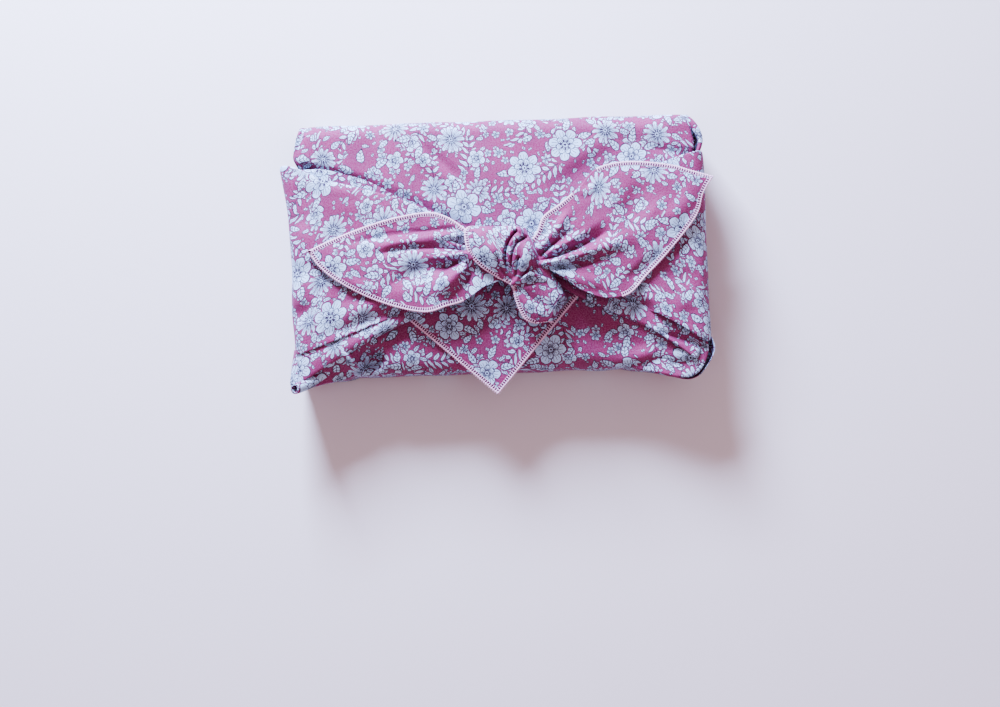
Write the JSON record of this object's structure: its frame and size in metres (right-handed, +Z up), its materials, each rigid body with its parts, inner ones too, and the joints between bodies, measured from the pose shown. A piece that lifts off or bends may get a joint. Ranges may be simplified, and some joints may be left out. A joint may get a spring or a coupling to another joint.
{
  "type": "furoshiki wrap",
  "caption": "Square printed cotton cloth with an overlocked edge, folded round a flat box-shaped space and tied in a knot on top with two spread corners.",
  "frame": {"origin": "middle of the flat underside, on the surface the wrap rests on", "axes": "+X along the wrap's length, +Y from the side where the loose corner hangs over the edge to the side with the open fold, +Z up"},
  "size_m": [0.2826, 0.182, 0.0704],
  "materials": {
    "printed_cotton": "matt printed cotton lawn, pale blue flowers on pink"
  },
  "bodies": {
    "root": {"furoshiki_cloth": "printed_cotton"}
  },
  "joints": []
}
